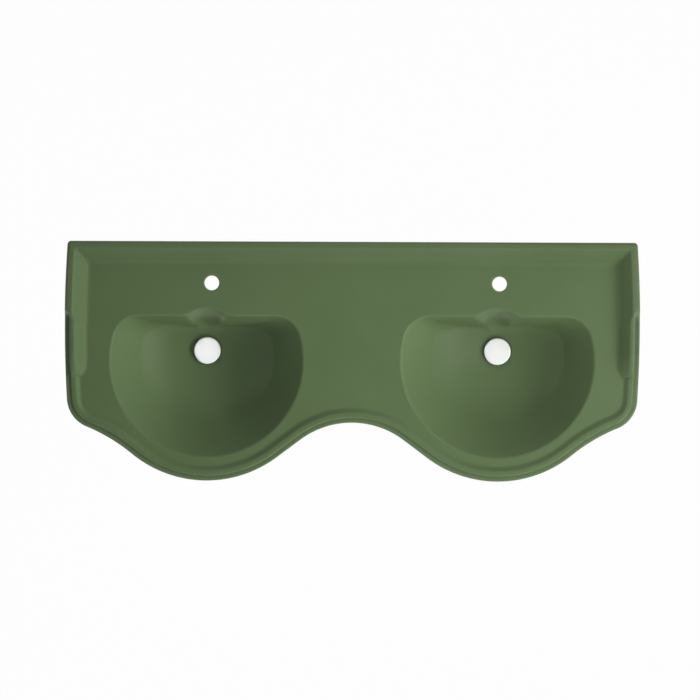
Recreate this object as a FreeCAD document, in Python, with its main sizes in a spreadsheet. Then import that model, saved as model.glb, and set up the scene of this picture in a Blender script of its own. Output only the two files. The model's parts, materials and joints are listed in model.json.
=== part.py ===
"""Double washbasin: a ceramic casting with two bowls and a push waste in each bowl.

Millimetres. X runs along the wall, Y points into the wall and Z up. The origin lies on the wall face,
midway along it, at the height of the deck.
"""
import FreeCAD, Part
import math
import os
import re

import Sketcher
from FreeCAD import Placement, Rotation, Vector

# Driving dimensions in millimetres
SIZES = {
    # Plan of the basin; a depth is a distance from the wall, a setback or hollow one from the front
    "overall_width": 1370.0,
    "overall_depth": 570.0,
    "bowl_to_side": 338.0,
    "bulge_radius": 280.0,
    "front_hollow": 139.0,
    "flank_length": 70.0,
    "shoulder_radius": 430.0,
    "corner_radius": 76.0,
    "corner_setback": 198.0,
    "side_bow_radius": 2950.0,
    "widest_depth": 199.0,
    "wall_corner_radius": 9.0,
    "inner_corner_radius": 4.0,
    # Moulded edge; an inset is measured inwards from the outline, a height upwards from the deck
    "lip_width": 10.5,
    "lip_height": 4.0,
    "lip_round": 3.5,
    "rim_height": 10.0,
    "rim_top_inset": 24.0,
    "rim_foot_inset": 33.0,
    "upstand_height": 36.0,
    "step_height": 29.0,
    "upstand_top_inset": 18.0,
    "upstand_foot_inset": 53.0,
    "first_step_depth": 171.0,
    "second_step_depth": 304.0,
    # Shell under the deck
    "deck_thickness": 16.0,
    "apron_height": 60.0,
    "apron_wall": 13.0,
    "wall_panel_height": 150.0,
    "wall_panel_thickness": 15.0,
    "apron_rise_depth": 190.0,
    # Bowls
    "bowl_radius": 230.0,
    "bowl_front_margin": 56.0,
    "bowl_back_depth": 177.5,
    "bowl_corner_radius": 62.0,
    "bowl_height": 115.0,
    "bowl_wall": 12.0,
    "bowl_edge_round": 8.0,
    "floor_radius": 52.0,
    "floor_flat": 8.0,
    "floor_corner_radius": 30.0,
    "scallop_reach": 17.5,
    "scallop_radius": 50.0,
    "scallop_shoulder_radius": 50.0,
    "floor_scallop_reach": 2.0,
    "floor_scallop_radius": 24.0,
    "floor_shoulder_radius": 10.0,
    # Holes in the ceramic
    "tap_hole_diameter": 35.0,
    "tap_hole_depth": 99.0,
    "tap_hole_round": 3.0,
    "left_tap_offset": 11.7,
    "right_tap_offset": 3.5,
    "waste_depth": 260.0,
    "waste_hole_diameter": 46.0,
    "waste_recess_diameter": 67.0,
    "boss_diameter": 92.0,
    "boss_height": 32.0,
    "wall_bolt_diameter": 14.0,
    "wall_bolt_pitch": 280.0,
    "wall_bolt_drop": 95.0,
    # Waste body
    "flange_diameter": 62.0,
    "flange_thickness": 3.0,
    "gasket_thickness": 1.5,
    "tail_diameter": 41.9,
    "tail_bore": 36.0,
    "thread_length": 62.0,
    "spigot_diameter": 40.0,
    "tail_length": 105.0,
    "cross_bar_width": 5.0,
    "cross_bar_height": 6.0,
    "cross_boss_diameter": 18.0,
    "cross_boss_height": 12.0,
    "fit_clearance": 0.1,
    # Seals and nut under the ceramic
    "seal_diameter": 68.0,
    "seal_thickness": 6.0,
    "seal_nose_height": 4.0,
    "slip_washer_diameter": 64.0,
    "slip_washer_thickness": 1.5,
    "nut_width": 58.0,
    "nut_height": 12.0,
    "thread_clearance": 0.15,
    # Push plug, drawn closed
    "plug_travel": 9.0,
    "plug_gap": 0.3,
    "cap_diameter": 64.0,
    "cap_height": 9.6,
    "cap_crown": 1.6,
    "cap_edge_round": 3.0,
    "cap_skirt_gap": 0.9,
    "carrier_diameter": 54.0,
    "carrier_thickness": 4.0,
    "plug_seal_diameter": 52.0,
    "plug_seal_width": 4.5,
    "plug_seal_thickness": 2.0,
    "seal_groove": 1.0,
    "hub_diameter": 14.0,
    "hub_height": 6.3,
    "stem_diameter": 8.0,
    "stem_engagement": 6.0,
    "piston_diameter": 10.0,
    "piston_height": 8.0,
    "slide_clearance": 0.15,
    # Cartridge with its collar and spring
    "hub_collar_gap": 1.5,
    "collar_thickness": 2.5,
    "cartridge_diameter": 15.0,
    "cartridge_floor": 3.0,
    "stop_clearance": 0.5,
    "spring_length": 12.5,
    "spring_wire": 1.0,
    "spring_turns": 5.0,
    "spring_diameter": 8.4,
    # Margin by which a cutting solid passes the face that it cuts
    "overshoot": 5.0,
}

doc = FreeCAD.newDocument("double_washbasin")
sheet = doc.addObject("Spreadsheet::Sheet", "Sizes")
for row, (alias, number) in enumerate(SIZES.items(), start=1):
    sheet.set(f"A{row}", alias)
    sheet.set(f"B{row}", str(number))
    sheet.setAlias(f"B{row}", alias)
doc.recompute()


SIDES = {"left": -1, "right": 1}


# Expressions over the sheet

def bound(expression):
    """Writes an expression over the size names as one that refers to the sheet's cells."""
    return re.sub(r"[a-z]\w*", lambda m: f"Sizes.{m[0]}" if m[0] in SIZES else m[0], str(expression))


def size(expression):
    """Value of an expression over the size names."""
    return float(sheet.evalExpression(bound(expression)))


def tie(item, path, expression):
    """Binds one property of an object to an expression over the size names."""
    item.setExpression(path, bound(expression))


# Sketches

def add_datum(sketch, kind, place, expression):
    """Adds one dimension to a sketch and binds it to an expression."""
    index = sketch.addConstraint(Sketcher.Constraint(kind, *place, size(expression)))
    tie(sketch, f"Constraints[{index}]", expression)


def pin(sketch, item, point, across, along):
    """Fixes a point of a sketch by its two distances from the sketch's origin."""
    add_datum(sketch, "DistanceX", (-1, 1, item, point), across)
    add_datum(sketch, "DistanceY", (-1, 1, item, point), along)


def free_sketch(name, height="0"):
    """Level sketch at a height over the deck."""
    sketch = doc.addObject("Sketcher::SketchObject", name)
    tie(sketch, "Placement.Base.z", height)
    return sketch


def side_sketch(name):
    """Sketch on the YZ plane: its first axis is Y and its second axis is Z."""
    sketch = doc.addObject("Sketcher::SketchObject", name)
    sketch.Placement = Placement(Vector(), Rotation(Vector(1, 1, 1), 120))
    return sketch


def body_sketch(body, name, role, offset="0"):
    """Sketch on an origin plane of its body, moved along the plane's normal."""
    sketch = body.newObject("Sketcher::SketchObject", name)
    plane = next(item for item in body.Origin.OriginFeatures if item.Role == role)
    sketch.AttachmentSupport = [(plane, "")]
    sketch.MapMode = "FlatFace"
    tie(sketch, "AttachmentOffset.Base.z", offset)
    return sketch


def add_polygon(sketch, corners):
    """Closed polygon whose corners are pairs of expressions."""
    places = [Vector(size(across), size(along), 0) for across, along in corners]
    count = len(places)
    first = sketch.GeometryCount
    for index in range(count):
        sketch.addGeometry(Part.LineSegment(places[index], places[(index + 1) % count]), False)
    for index in range(count):
        follower = first + (index + 1) % count
        sketch.addConstraint(Sketcher.Constraint("Coincident", first + index, 2, follower, 1))
    for index, (across, along) in enumerate(corners):
        pin(sketch, first + index, 1, across, along)


def add_circle(sketch, diameter, across="0", along="0"):
    """Circle by its diameter and centre, all expressions."""
    centre = Vector(size(across), size(along), 0)
    item = sketch.addGeometry(Part.Circle(centre, Vector(0, 0, 1), size(diameter) / 2), False)
    add_datum(sketch, "Diameter", (item,), diameter)
    pin(sketch, item, 3, across, along)


def add_chain(sketch, pieces):
    """Closed chain of tangent lines and arcs, given in counterclockwise order.

    A piece is (start, end) for a line and (start, end, centre, turn) for an arc, with turn +1 where the
    chain bends left and -1 where it bends right.
    """
    ends = []
    for start, end, *arc in pieces:
        if not arc:
            item = sketch.addGeometry(Part.LineSegment(start, end), False)
            ends.append((item, 1, 2))
            continue
        centre, turn = arc
        circle = Part.Circle(centre, Vector(0, 0, 1), (start - centre).Length)
        low, high = (start, end) if turn > 0 else (end, start)
        angles = [math.atan2(point.y - centre.y, point.x - centre.x) for point in (low, high)]
        item = sketch.addGeometry(Part.ArcOfCircle(circle, *angles), False)
        ends.append((item, 1, 2) if turn > 0 else (item, 2, 1))
    for before, after in zip(ends, ends[1:] + ends[:1]):
        sketch.addConstraint(Sketcher.Constraint("Tangent", before[0], before[2], after[0], after[1]))
    return [end[0] for end in ends]


def towards(start, end, distance):
    """Point at a distance from start on the way to end."""
    return start + (end - start).normalize() * distance


def flipped(point):
    """Mirror image of a point across the middle of the basin."""
    return Vector(-point.x, point.y, point.z)


# Plan outline

BOWL_MIDDLE = "(overall_width / 2 - bowl_to_side)"
VALLEY_RADIUS = (
    f"(({BOWL_MIDDLE}^2 + (bulge_radius - front_hollow)^2 - bulge_radius^2 - flank_length^2)"
    " / (2 * front_hollow))"
)
VALLEY_CENTRE_DEPTH = f"(overall_depth - front_hollow + {VALLEY_RADIUS})"
CORNER_DEPTH = "(overall_depth - corner_setback)"


def outline_sketch(name, inset, height, wall_inset=None):
    """Outline of the basin moved inwards by an inset, on a level sketch.

    Both halves run from the wall line through a small corner, the bowed side, the front corner, a hollow
    shoulder, the bulge round the bowl and a straight flank to the hollow in the middle, all tangent.
    """
    wall_inset = inset if wall_inset is None else wall_inset
    step = size(inset)
    wall_line = -size(wall_inset)
    wall_corner = f"max(wall_corner_radius - ({inset}), inner_corner_radius)"
    corner_r = size(wall_corner)
    bow_r = size("side_bow_radius") - step
    front_r = size("corner_radius") - step
    bulge_r = size("bulge_radius") - step
    valley_r = size(VALLEY_RADIUS) + step

    bow_centre = Vector(size("overall_width / 2 - side_bow_radius"), -size("widest_depth"), 0)
    wall_y = wall_line - corner_r
    wall_reach = math.sqrt((bow_r - corner_r) ** 2 - (wall_y - bow_centre.y) ** 2)
    wall_centre = Vector(bow_centre.x + wall_reach, wall_y, 0)
    front_y = -size(CORNER_DEPTH)
    front_reach = math.sqrt((bow_r - front_r) ** 2 - (front_y - bow_centre.y) ** 2)
    front_centre = Vector(bow_centre.x + front_reach, front_y, 0)
    bulge_centre = Vector(size(BOWL_MIDDLE), size("bulge_radius - overall_depth"), 0)
    valley_centre = Vector(0, -size(VALLEY_CENTRE_DEPTH), 0)

    # The hollow shoulder touches the bulge and the front corner
    reach = size("bulge_radius + shoulder_radius")
    other_reach = size("corner_radius + shoulder_radius")
    span = front_centre - bulge_centre
    along = (reach**2 - other_reach**2 + span.Length**2) / (2 * span.Length)
    across = math.sqrt(reach**2 - along**2)
    sideways = Vector(span.y, -span.x, 0)
    shoulder_centre = towards(bulge_centre, front_centre, along) + sideways.normalize() * across

    # The flank touches the bulge and the hollow in the middle from opposite sides
    gap = valley_centre - bulge_centre
    tilt = math.degrees(math.acos((bulge_r + valley_r) / gap.Length))
    normal = Rotation(Vector(0, 0, 1), tilt).multVec(gap).normalize()

    joints = [
        Vector(wall_centre.x, wall_line, 0),
        towards(wall_centre, bow_centre, -corner_r),
        towards(bow_centre, front_centre, bow_r),
        towards(front_centre, shoulder_centre, front_r),
        towards(bulge_centre, shoulder_centre, bulge_r),
        bulge_centre + normal * bulge_r,
        valley_centre - normal * valley_r,
    ]
    arcs = [
        (wall_centre, 1),
        (bow_centre, 1),
        (front_centre, 1),
        (shoulder_centre, -1),
        (bulge_centre, 1),
        (),
    ]
    left = []
    right = []
    for start, end, arc in zip(joints, joints[1:], arcs):
        mirrored_arc = (flipped(arc[0]), arc[1]) if arc else ()
        right.insert(0, (end, start, *arc))
        left.append((flipped(start), flipped(end), *mirrored_arc))
    wall = (joints[0], flipped(joints[0]))
    valley = (flipped(joints[-1]), joints[-1], valley_centre, -1)

    sketch = free_sketch(name, height)
    items = add_chain(sketch, [wall, *left, valley, *right])
    wall_item, left_items, valley_item, right_items = items[0], items[1:7], items[7], items[8:]
    radii = [
        wall_corner,
        f"side_bow_radius - ({inset})",
        f"corner_radius - ({inset})",
        f"shoulder_radius + ({inset})",
        f"bulge_radius - ({inset})",
    ]
    for side, half in ((-1, left_items), (1, right_items[::-1])):
        for item, radius in zip(half, radii):
            add_datum(sketch, "Radius", (item,), radius)
        pin(sketch, half[1], 3, f"{side} * (overall_width / 2 - side_bow_radius)", "-widest_depth")
        add_datum(sketch, "DistanceY", (-1, 1, half[2], 3), f"-{CORNER_DEPTH}")
        pin(sketch, half[4], 3, f"{side} * {BOWL_MIDDLE}", "bulge_radius - overall_depth")
    add_datum(sketch, "Radius", (valley_item,), f"{VALLEY_RADIUS} + ({inset})")
    pin(sketch, valley_item, 3, "0", f"-{VALLEY_CENTRE_DEPTH}")
    for point in (1, 2):
        add_datum(sketch, "DistanceY", (-1, 1, wall_item, point), f"-({wall_inset})")
    return sketch


# Solids made from sketches

# Slack when faces and edges are looked up by their place
NEAR = 0.01


def extruded(name, sketch, direction, forward, backward="0"):
    """Prism over a sketch, with its reach along and against a direction."""
    prism = doc.addObject("Part::Extrusion", name)
    prism.Base = sketch
    prism.DirMode = "Custom"
    prism.Dir = direction
    prism.Solid = True
    tie(prism, "LengthFwd", forward)
    tie(prism, "LengthRev", backward)
    return prism


def lofted(name, sketches, ruled):
    """Solid through level sketches, straight or smooth between them."""
    loft = doc.addObject("Part::Loft", name)
    loft.Sections = sketches
    loft.Solid = True
    loft.Ruled = ruled
    return loft


def joined(name, shapes):
    """Union of several objects."""
    union = doc.addObject("Part::MultiFuse", name)
    union.Shapes = shapes
    return union


def cut(name, base, tool):
    """Base without the space of the tool."""
    rest = doc.addObject("Part::Cut", name)
    rest.Base = base
    rest.Tool = tool
    return rest


def shared(name, base, tool):
    """Space that two objects have in common."""
    overlap = doc.addObject("Part::Common", name)
    overlap.Base = base
    overlap.Tool = tool
    return overlap


def both_sides(sources):
    """Objects of the right half with their mirror images."""
    images = []
    for source in sources:
        image = doc.addObject("Part::Mirroring", f"{source.Name}_mirrored")
        image.Source = source
        image.Normal = Vector(1, 0, 0)
        images.append(image)
    return [*sources, *images]


def box(name, x_low, x_high, y_low, y_high, z_low, z_high):
    """Box between six planes given as expressions."""
    block = doc.addObject("Part::Box", name)
    for axis, side, low, high in (
        ("x", "Length", x_low, x_high),
        ("y", "Width", y_low, y_high),
        ("z", "Height", z_low, z_high),
    ):
        tie(block, f"Placement.Base.{axis}", low)
        tie(block, side, f"({high}) - ({low})")
    return block


def upright(name, diameter, across, depth, low, high):
    """Upright cylinder at a distance across from the middle of the basin and a depth from the wall."""
    post = doc.addObject("Part::Cylinder", name)
    tie(post, "Radius", f"({diameter}) / 2")
    tie(post, "Height", f"({high}) - ({low})")
    tie(post, "Placement.Base.x", across)
    tie(post, "Placement.Base.y", f"-({depth})")
    tie(post, "Placement.Base.z", low)
    return post


def softened(name, base, rules):
    """Rounds level edges of an object.

    A rule gives the height of the edges, the two heights between which the lower face beside them ends,
    and the radius.
    """
    doc.recompute()
    shape = base.Shape
    rounds = []
    for index, edge in enumerate(shape.Edges, start=1):
        for height, lowest, highest, radius in rules:
            level = size(height)
            if max(abs(vertex.Z - level) for vertex in edge.Vertexes) > NEAR:
                continue
            sides = shape.ancestorsOfType(edge, Part.Face)
            feet = [min(vertex.Z for vertex in face.Vertexes) for face in sides]
            if size(lowest) - NEAR < min(feet) < size(highest) + NEAR:
                rounds.append((index, size(radius), size(radius)))
    fillet = doc.addObject("Part::Fillet", name)
    fillet.Base = base
    fillet.Edges = rounds
    return fillet


def towards_wall(name, diameter, across, drop, start_depth, end_depth):
    """Level cylinder square to the wall, between two depths from it."""
    bar = doc.addObject("Part::Cylinder", name)
    bar.Placement = Placement(Vector(), Rotation(Vector(1, 0, 0), -90))
    tie(bar, "Radius", f"({diameter}) / 2")
    tie(bar, "Height", f"({start_depth}) - ({end_depth})")
    tie(bar, "Placement.Base.x", across)
    tie(bar, "Placement.Base.y", f"-({start_depth})")
    tie(bar, "Placement.Base.z", f"-({drop})")
    return bar


# Ceramic shell: the outline cut to its side view, with the lip, the deck and the hollow underside

def side_view():
    """Side view of the casting: stepped top edge, and an apron that deepens towards the wall."""
    first_drop = "(upstand_height - step_height) / 2"
    second_drop = "(step_height - rim_height) / 2"
    front = "-(overall_depth + overshoot)"
    sketch = side_sketch("side_view")
    corners = [("overshoot", "upstand_height")]
    arcs = []
    for depth, top, drop in (
        ("first_step_depth", "upstand_height", first_drop),
        ("second_step_depth", "step_height", second_drop),
    ):
        corners.append((f"{drop} - {depth}", top))
        arcs.append((len(corners) - 1, 1, (f"{drop} - {depth}", f"{top} - {drop}"), drop))
        corners.append((f"-{depth}", f"{top} - {drop}"))
        arcs.append((len(corners) - 1, -1, (f"-{depth} - {drop}", f"{top} - {drop}"), drop))
        corners.append((f"-{depth} - {drop}", f"{top} - 2 * {drop}"))
    corners += [
        (front, "rim_height"),
        (front, "-apron_height"),
        ("-apron_rise_depth", "-apron_height"),
        ("-wall_panel_thickness", "-wall_panel_height"),
        ("overshoot", "-wall_panel_height"),
    ]
    places = [Vector(size(across), size(along), 0) for across, along in corners]
    bends = {index: (turn, centre, radius) for index, turn, centre, radius in arcs}
    items = []
    for index, start in enumerate(places):
        end = places[(index + 1) % len(places)]
        if index not in bends:
            items.append((sketch.addGeometry(Part.LineSegment(start, end), False), 1, 2))
            continue
        turn, centre, radius = bends[index]
        middle = Vector(size(centre[0]), size(centre[1]), 0)
        circle = Part.Circle(middle, Vector(0, 0, 1), size(radius))
        low, high = (start, end) if turn > 0 else (end, start)
        angles = [math.atan2(point.y - middle.y, point.x - middle.x) for point in (low, high)]
        item = sketch.addGeometry(Part.ArcOfCircle(circle, *angles), False)
        items.append((item, 1, 2) if turn > 0 else (item, 2, 1))
    for before, after in zip(items, items[1:] + items[:1]):
        sketch.addConstraint(Sketcher.Constraint("Coincident", before[0], before[2], after[0], after[1]))
    for (item, start, end), corner in zip(items, corners):
        pin(sketch, item, start, *corner)
    for index, (turn, centre, radius) in bends.items():
        add_datum(sketch, "Radius", (items[index][0],), radius)
    return sketch


def ceramic_shell():
    """Casting without its bowls: upstand, moulded rim, deck, apron and wall panel."""
    up = Vector(0, 0, 1)
    across = Vector(1, 0, 0)
    half_reach = "overall_width / 2 + overshoot"
    full = extruded(
        "plan_block",
        outline_sketch("plan_outline", "0", "0"),
        up,
        "upstand_height + overshoot",
        "wall_panel_height + overshoot",
    )
    profile = extruded("side_block", side_view(), across, half_reach, half_reach)
    block = shared("stepped_block", full, profile)

    # Lip outside the rim, from the first step to the front
    front_zone = ("-" + half_reach.replace(" + ", " - "), half_reach, "-(overall_depth + overshoot)")
    lip_zone = box("lip_zone", *front_zone, "-first_step_depth", "lip_height", "upstand_height + overshoot")
    lip_core = extruded(
        "lip_core",
        outline_sketch("lip_outline", "lip_width", "0"),
        up,
        "upstand_height + 2 * overshoot",
    )
    block = cut("lipped_block", block, cut("lip_space", lip_zone, lip_core))

    # Deck with the slopes of the rim and of the upstand round it
    rim_reach = "(rim_height + step_height) / 2 + overshoot"
    rise = f"({rim_reach}) / rim_height"
    rim_inset = f"rim_foot_inset - (rim_foot_inset - rim_top_inset) * {rise}"
    rim_slope = lofted(
        "rim_slope",
        [
            outline_sketch("rim_foot", "rim_foot_inset", "0"),
            outline_sketch("rim_top", rim_inset, rim_reach),
        ],
        True,
    )
    rim_zone = box("rim_zone", *front_zone, "-second_step_depth", "-overshoot", f"{rim_reach} + overshoot")
    rise = "(upstand_height + overshoot) / upstand_height"
    upstand_inset = f"upstand_foot_inset - (upstand_foot_inset - upstand_top_inset) * {rise}"
    upstand_slope = lofted(
        "upstand_slope",
        [
            outline_sketch("upstand_foot", "upstand_foot_inset", "0"),
            outline_sketch("upstand_top", upstand_inset, "upstand_height + overshoot"),
        ],
        True,
    )
    deck_space = joined("deck_space", [upstand_slope, shared("rim_space", rim_slope, rim_zone)])
    block = cut("decked_block", block, deck_space)

    # Hollow underside
    hollow = extruded(
        "underside",
        outline_sketch("underside_outline", "apron_wall", "-deck_thickness", "wall_panel_thickness"),
        Vector(0, 0, -1),
        "wall_panel_height",
    )
    return cut("shell", block, hollow)


# Bowls: smooth lofts through D-shaped sections that draw in from the edge to the floor

# Shares of the way from the edge to the floor at which the sections lie
BOWL_SHARES = (0.0, 0.12, 0.24, 0.36, 0.46, 0.54, 0.64, 0.8, 1.0)
# Shares of the depth that the wall and the floor fall over the whole way, and the roundness between them
WALL_FALL = 1.74
FLOOR_FALL = 0.15
BEND = 0.18
# Power by which the steeper back and its scallop are ahead of the front and sides
BACK_LEAD = 3.3


def fall(share):
    """Share of the depth reached at a share of the way in: a wall slope that bends into a floor slope."""

    def lesser(at):
        wall = WALL_FALL * at
        floor = 1 - FLOOR_FALL + FLOOR_FALL * at
        return (wall + floor - math.hypot(wall - floor, BEND)) / 2

    return (lesser(share) - lesser(0)) / (lesser(1) - lesser(0))


def bowl_section(name, height, radius, front, back, corner, reach, scallop, shoulder):
    """Section of the right-hand bowl, every size an expression.

    The front is round and the back straight with round corners. In its middle the back bulges towards the
    tap hole by a reach, as a scallop between two hollow shoulders.
    """
    middle = size(BOWL_MIDDLE)
    round_r, corner_r, scallop_r, shoulder_r = [size(each) for each in (radius, corner, scallop, shoulder)]
    centre = Vector(middle, size(f"({radius}) - ({front})"), 0)
    back_line = -size(back)
    corner_y = back_line - corner_r
    corner_x = math.sqrt((round_r - corner_r) ** 2 - (corner_y - centre.y) ** 2)
    touch = scallop_r + shoulder_r
    shoulder_x = math.sqrt(touch**2 - (touch - size(reach)) ** 2)
    scallop_y = f"({reach}) - ({scallop}) - ({back})"
    scallop_centre = Vector(middle, size(scallop_y), 0)

    joints = {}
    centres = {}
    for side in (-1, 1):
        corner_centre = Vector(middle + side * corner_x, corner_y, 0)
        shoulder_centre = Vector(middle + side * shoulder_x, back_line + shoulder_r, 0)
        centres[side] = (corner_centre, shoulder_centre)
        joints[side] = [
            towards(centre, corner_centre, round_r),
            Vector(corner_centre.x, back_line, 0),
            Vector(shoulder_centre.x, back_line, 0),
            towards(scallop_centre, shoulder_centre, scallop_r),
        ]
    right, left = joints[1], joints[-1]
    chain = [
        (right[0], right[1], centres[1][0], 1),
        (right[1], right[2]),
        (right[2], right[3], centres[1][1], -1),
        (right[3], left[3], scallop_centre, 1),
        (left[3], left[2], centres[-1][1], -1),
        (left[2], left[1]),
        (left[1], left[0], centres[-1][0], 1),
        (left[0], right[0], centre, 1),
    ]
    sketch = free_sketch(name, height)
    items = add_chain(sketch, chain)
    radii = {0: corner, 2: shoulder, 3: scallop, 4: shoulder, 6: corner, 7: radius}
    for index, value in radii.items():
        add_datum(sketch, "Radius", (items[index],), value)
    pin(sketch, items[7], 3, BOWL_MIDDLE, f"({radius}) - ({front})")
    pin(sketch, items[3], 3, BOWL_MIDDLE, scallop_y)
    for line in (items[1], items[5]):
        for point in (1, 2):
            add_datum(sketch, "DistanceY", (-1, 1, line, point), f"-({back})")
    return sketch


def bowl_loft(name, wall):
    """Bowl of the right half, thicker all round by a wall.

    Each size of a section goes from its value at the edge to that at the floor by the section's share.
    """
    front = "overall_depth - bowl_front_margin"
    sections = []
    for step, share in enumerate(BOWL_SHARES):
        back_share = 1 - (1 - share) ** BACK_LEAD

        def between(edge, floor, way=share):
            return f"({edge}) + (({floor}) - ({edge})) * {way:.6f}"

        sections.append(
            bowl_section(
                f"{name}_section_{step}",
                f"-(bowl_height + {wall}) * {fall(share):.6f}",
                between(f"bowl_radius + {wall}", f"floor_radius + {wall}"),
                between(f"{front} + {wall}", f"waste_depth + floor_radius + {wall}"),
                between(
                    f"bowl_back_depth - {wall}", f"waste_depth + floor_flat - floor_radius - {wall}", back_share
                ),
                between(f"bowl_corner_radius + {wall}", f"floor_corner_radius + {wall}"),
                between("scallop_reach", "floor_scallop_reach", back_share),
                between(f"scallop_radius + {wall}", f"floor_scallop_radius + {wall}"),
                between("scallop_shoulder_radius", "floor_shoulder_radius"),
            )
        )
    return lofted(name, sections, False)


def ceramic_basin():
    """The whole casting: shell and bowls, less the bowls' hollows and every hole."""
    floor_drop = "bowl_height"
    boss_drop = "(bowl_height + boss_height)"
    solids = [
        bowl_loft("bowl_outside", "bowl_wall"),
        upright("waste_boss", "boss_diameter", BOWL_MIDDLE, "waste_depth", f"-{boss_drop}", f"-{floor_drop}"),
    ]
    hollows = [
        bowl_loft("bowl_inside", "0"),
        upright(
            "waste_hole", "waste_hole_diameter", BOWL_MIDDLE, "waste_depth",
            f"-{boss_drop} - overshoot", f"-{floor_drop}",
        ),
        upright(
            "waste_recess", "waste_recess_diameter", BOWL_MIDDLE, "waste_depth",
            f"-{floor_drop} - flange_thickness - gasket_thickness", f"-{floor_drop} + overshoot",
        ),
    ]
    for sign in ("-", "+"):
        hollows.append(
            towards_wall(
                "outer_wall_bolt" if sign == "+" else "inner_wall_bolt",
                "wall_bolt_diameter",
                f"{BOWL_MIDDLE} {sign} wall_bolt_pitch / 2",
                "wall_bolt_drop",
                "wall_panel_thickness + overshoot",
                "-overshoot",
            )
        )
    tap_holes = [
        upright(
            f"{side}_tap_hole", "tap_hole_diameter",
            f"{sign} * {BOWL_MIDDLE} + {side}_tap_offset", "tap_hole_depth",
            "-deck_thickness - overshoot", "overshoot",
        )
        for side, sign in SIDES.items()
    ]
    casting = joined("casting", [ceramic_shell(), *both_sides(solids)])
    spaces = joined("spaces", [*tap_holes, *both_sides(hollows)])
    rounds = [
        ("lip_height", "-wall_panel_height", "-apron_height", "lip_round"),
        ("0", "-bowl_height", "-deck_thickness - bowl_edge_round", "bowl_edge_round"),
        ("0", "-deck_thickness", "-deck_thickness", "tap_hole_round"),
    ]
    basin = softened("basin", cut("bored_casting", casting, spaces), rounds)
    basin.Label = "basin"
    return basin


# Waste fittings, drawn round their own axis with the bowl's floor at zero

FLANGE_UNDERSIDE = "-flange_thickness"
CERAMIC_UNDERSIDE = "-boss_height"
SEAL_FOOT = f"({CERAMIC_UNDERSIDE} - seal_thickness)"
NUT_TOP = f"({SEAL_FOOT} - slip_washer_thickness)"
CARRIER_FOOT = "(plug_gap + plug_seal_thickness - seal_groove)"
CARRIER_TOP = f"({CARRIER_FOOT} + carrier_thickness)"
HUB_FOOT = f"({CARRIER_FOOT} - hub_height)"
STEM_TOP = f"({HUB_FOOT} + stem_engagement)"
COLLAR_TOP = f"({HUB_FOOT} - hub_collar_gap)"
COLLAR_FOOT = f"({COLLAR_TOP} - collar_thickness)"
PISTON_TOP = f"({COLLAR_FOOT} - plug_travel - stop_clearance)"
PISTON_FOOT = f"({PISTON_TOP} - piston_height)"
SPRING_FOOT = f"({PISTON_FOOT} - spring_length)"
CARTRIDGE_FOOT = f"({SPRING_FOOT} - cartridge_floor)"
CROSS_BOSS_FOOT = f"({CARTRIDGE_FOOT} - cross_boss_height)"
CARTRIDGE_BORE = "(piston_diameter + 2 * slide_clearance)"
TAIL_HOLE = "(tail_diameter + 2 * thread_clearance)"


def seat(item, side):
    """Sets a piece of a waste on the axis of its bowl's waste hole."""
    tie(item, "Placement.Base.x", f"{SIDES[side]} * {BOWL_MIDDLE}")
    tie(item, "Placement.Base.y", "-waste_depth")
    tie(item, "Placement.Base.z", "-bowl_height")


def new_body(side, piece):
    """Empty body for one piece of a waste."""
    body = doc.addObject("PartDesign::Body", f"{side}_{piece}")
    body.Label = f"{side}_{piece}"
    seat(body, side)
    return body


def turned(side, piece, corners):
    """Piece turned from a half section whose corners are radius and height."""
    body = new_body(side, piece)
    profile = body_sketch(body, f"{side}_{piece}_section", "XZ_Plane")
    add_polygon(profile, corners)
    revolution = body.newObject("PartDesign::Revolution", f"{side}_{piece}_turned")
    revolution.Profile = profile
    revolution.ReferenceAxis = (profile, ["V_Axis"])
    revolution.Angle = 360
    doc.recompute()
    return body


def ring(side, piece, outer, inner, low, high):
    """Plain ring by its two diameters and two heights."""
    corners = [(f"{inner} / 2", low), (f"{outer} / 2", low), (f"{outer} / 2", high), (f"{inner} / 2", high)]
    return turned(side, piece, corners)


def padded(body, name, sketch, length):
    """Material added over a sketch along its normal."""
    pad = body.newObject("PartDesign::Pad", name)
    pad.Profile = sketch
    tie(pad, "Length", length)
    doc.recompute()
    return pad


def rounded(body, name, base, edges, radius):
    """Rounds edges of a feature."""
    fillet = body.newObject("PartDesign::Fillet", name)
    fillet.Base = (base, edges)
    tie(fillet, "Radius", radius)
    doc.recompute()
    return fillet


def edges_at(shape, radius, height):
    """Names of the round edges of a turned piece at a radius and a height."""
    names = []
    for index, edge in enumerate(shape.Edges, start=1):
        curve = edge.Curve
        if not isinstance(curve, Part.Circle):
            continue
        if abs(curve.Radius - size(radius)) < NEAR and abs(curve.Center.z - size(height)) < NEAR:
            names.append(f"Edge{index}")
    return names


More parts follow.
